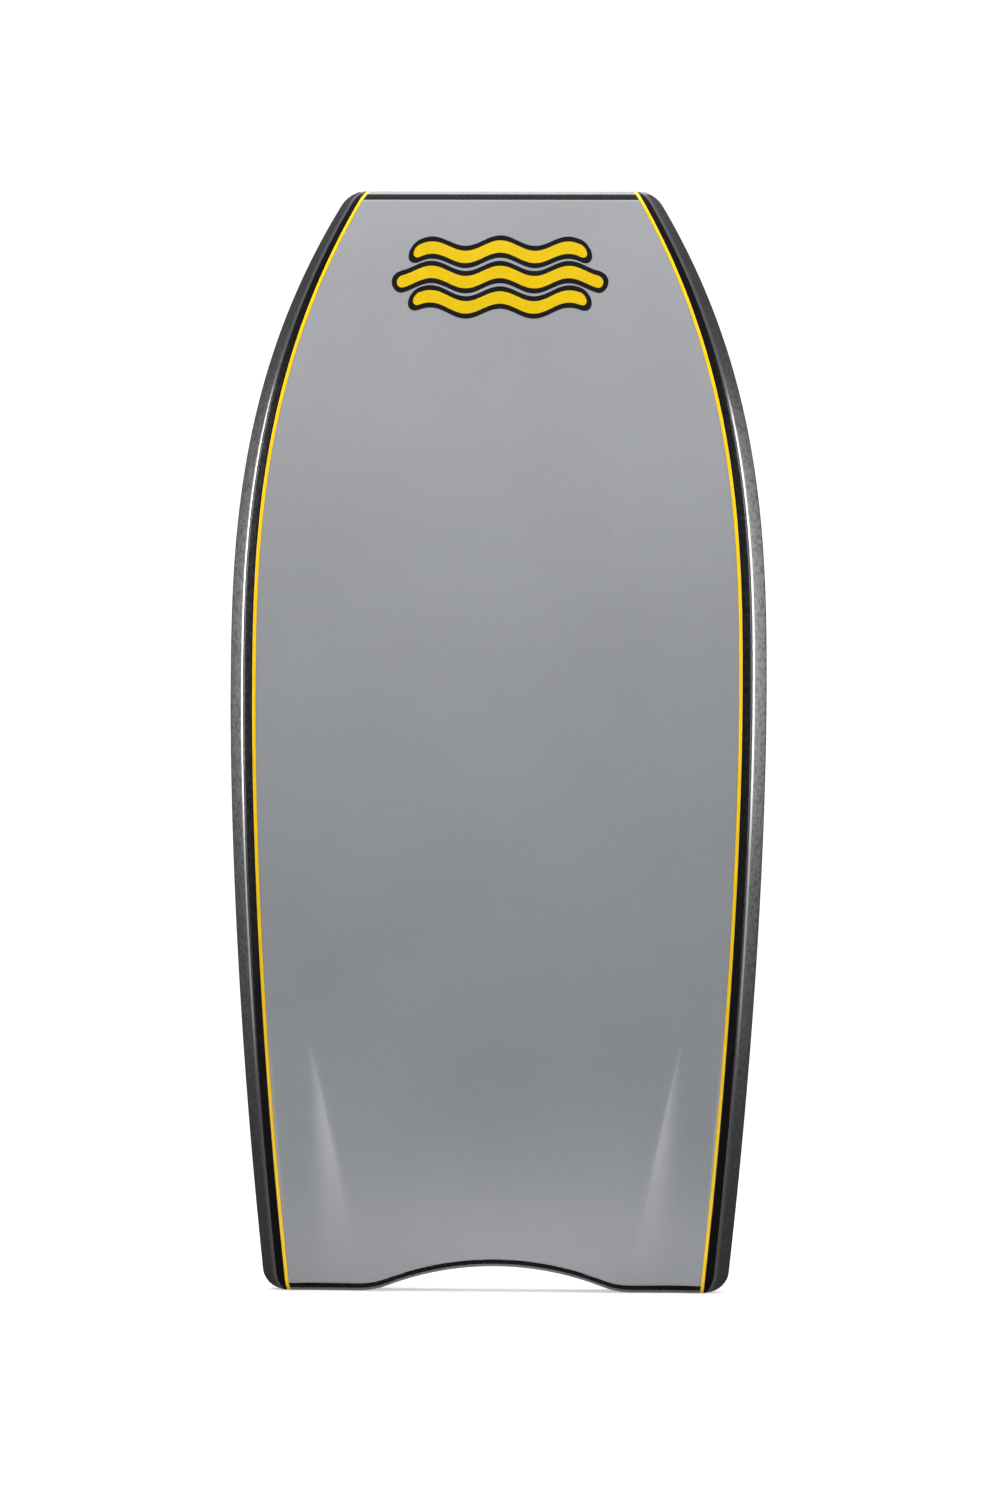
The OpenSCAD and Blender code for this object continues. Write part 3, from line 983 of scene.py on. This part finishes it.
def floor_mesh():
    """A flat disc, divided into rings and spokes."""
    points, faces = [(0, 0, 0)], []
    for j in range(1, FLOOR_RINGS + 1):
        r = FLOOR_RADIUS * j / FLOOR_RINGS
        for i in range(FLOOR_SPOKES):
            a = 2 * math.pi * i / FLOOR_SPOKES
            points.append((r * math.cos(a), r * math.sin(a), 0))
    for i in range(FLOOR_SPOKES):
        after = (i + 1) % FLOOR_SPOKES
        faces.append((0, 1 + i, 1 + after))
        for j in range(FLOOR_RINGS - 1):
            a, b = 1 + j * FLOOR_SPOKES + i, 1 + j * FLOOR_SPOKES + after
            faces.append((a, a + FLOOR_SPOKES, b + FLOOR_SPOKES, b))
    return new_piece("floor", np.array(points, float), faces)


def floor_material():
    """Pale matt paint that fades out before the floor's rim."""
    n = Nodes("floor_paint")
    n.set(Base_Color=colour(FLOOR_GREY), Roughness=0.9, Specular_IOR_Level=0.0)
    n.set(Emission_Color=colour(1.0), Emission_Strength=FLOOR_GLOW)
    gradient = n.node("ShaderNodeTexGradient", Vector=n.stretched((1 / FLOOR_RADIUS,) * 3))
    gradient.gradient_type = "SPHERICAL"
    fade = n.ramp(gradient.outputs["Fac"], 0.0, 1.0, FLOOR_FADE)
    mixed = n.node("ShaderNodeMixShader", Fac=fade)
    n.tree.links.new(n.node("ShaderNodeBsdfTransparent").outputs[0], mixed.inputs[1])
    n.tree.links.new(n.shader.outputs[0], mixed.inputs[2])
    n.tree.links.new(mixed.outputs[0], n.tree.nodes["Material Output"].inputs["Surface"])
    return n.material


def floor():
    """A pale round floor that doesn't show in the board's reflections."""
    piece = floor_mesh()
    piece.data.materials.append(floor_material())
    piece.visible_glossy = False


def world():
    """White to the camera, and a softer light to everything else."""
    made = bpy.data.worlds.new("studio")
    made.use_nodes = True
    nodes, links = made.node_tree.nodes, made.node_tree.links
    soft, white = nodes["Background"], nodes.new("ShaderNodeBackground")
    for background, strength in ((soft, WORLD_LIGHT), (white, BACKDROP_LIGHT)):
        background.inputs["Color"].default_value = colour(1.0)
        background.inputs["Strength"].default_value = strength
    path = nodes.new("ShaderNodeLightPath")
    mix = nodes.new("ShaderNodeMixShader")
    links.new(path.outputs["Is Camera Ray"], mix.inputs[0])
    links.new(soft.outputs[0], mix.inputs[1])
    links.new(white.outputs[0], mix.inputs[2])
    links.new(mix.outputs[0], nodes["World Output"].inputs["Surface"])
    bpy.context.scene.world = made


def camera():
    """A long lens, nearly square on to the slick."""
    data = bpy.data.cameras.new("camera")
    data.sensor_width = SENSOR_MM
    data.lens = SENSOR_MM * FOCAL_SHARE
    data.clip_end = 100
    made = bpy.data.objects.new("camera", data)
    bpy.context.scene.collection.objects.link(made)
    made.location = (CAMERA_ASIDE, SLICK_Y - CAMERA_DISTANCE, LENGTH / 2 - CAMERA_DROP)
    upright = Matrix.Rotation(CAMERA_TURN, 3, "Z") @ Matrix.Rotation(math.pi / 2, 3, "X")
    made.rotation_euler = (upright @ Matrix.Rotation(CAMERA_ROLL, 3, "Z")).to_euler()
    bpy.context.scene.camera = made


# ---------------------------------------------------------------- lights

WHITE = (1.0, 1.0, 1.0)
WARM = (1.0, 0.9, 0.88)
PINKISH = (1.0, 0.94, 0.95)
BELOW = (0, 0.001, 0)


def lamp(light, at, towards, shades, tint):
    """Places a light. It either shades the surfaces or only shows as a gloss on them."""
    light.color = tint
    made = bpy.data.objects.new(light.name, light)
    bpy.context.scene.collection.objects.link(made)
    made.location = at
    made.rotation_euler = (Vector(towards) - Vector(at)).to_track_quat("-Z", "Y").to_euler()
    made.visible_camera = False
    made.visible_glossy = not shades
    made.visible_diffuse = shades


def softbox(name, at, towards, size, radiance, shades, tint=WHITE):
    """A rectangular area light of the given size and radiance, aimed at a point."""
    light = bpy.data.lights.new(name, "AREA")
    light.shape = "RECTANGLE"
    light.size, light.size_y = size
    light.energy = radiance * math.pi * size[0] * size[1]
    lamp(light, at, towards, shades, tint)


def nose_spot():
    """A soft spot that brightens the slick towards the nose."""
    light = bpy.data.lights.new("nose_spot", "SPOT")
    light.energy = 440
    light.spot_size = math.radians(38)
    light.spot_blend = 0.45
    light.shadow_soft_size = 0.3
    lamp(light, at=(0, -2.6, 2.6), towards=(0, 0, 1.38), shades=True, tint=WARM)


def rail_glosses(side):
    """Glosses on one side's rail, on its upper and its lower part."""
    upper, lower = (side * 1.6, 0.14, 0.89), (side * 1.62, 0.14, 0.28)
    softbox(f"edge_{side + 1}", upper, (0, 0, 0.84), (0.4, 0.94), 44.0, shades=False)
    softbox(f"low_edge_{side + 1}", lower, (0, 0, 0.27), (0.4, 0.36), 9.0, shades=False)


def channel_gloss(side):
    """A gloss on the hollow wall of one side's channel."""
    at, wall = (side * 0.39, -0.46, 0.09), (side * 0.15, 0, 0.05)
    softbox(f"channel_{side + 1}", at, wall, (0.2, 0.17), 7.8, shades=False, tint=PINKISH)


def lights():
    softbox("overhead", (0, 0, 2.8), BELOW, (4.4, 4.4), 3.2, shades=True)
    softbox("sheen", (0, 0, 2.78), BELOW, (4.4, 4.4), 0.6, shades=False)
    nose_spot()
    softbox("tail_fill", (0, -0.17, 0.03), (0, 0, 0.03), (0.4, 0.03), 5.5, shades=True, tint=WARM)
    for side in (-1, 1):
        rail_glosses(side)
        channel_gloss(side)
    softbox("nose_tip", (0, 2.4, 2.4), (0, 0, 1.06), (1.0, 0.6), 2.2, shades=False)


black_foam = foam_material("black_foam", srgb(11, 11, 13), 0.25, 0.01 * MM, shine=0.12)
build_sheets()
build_pinlines()
build_rails(black_foam)
build_bumpers(black_foam)
build_emblem()
dress_inside()
floor()
world()
camera()
lights()
bpy.context.scene.view_settings.view_transform = "Standard"
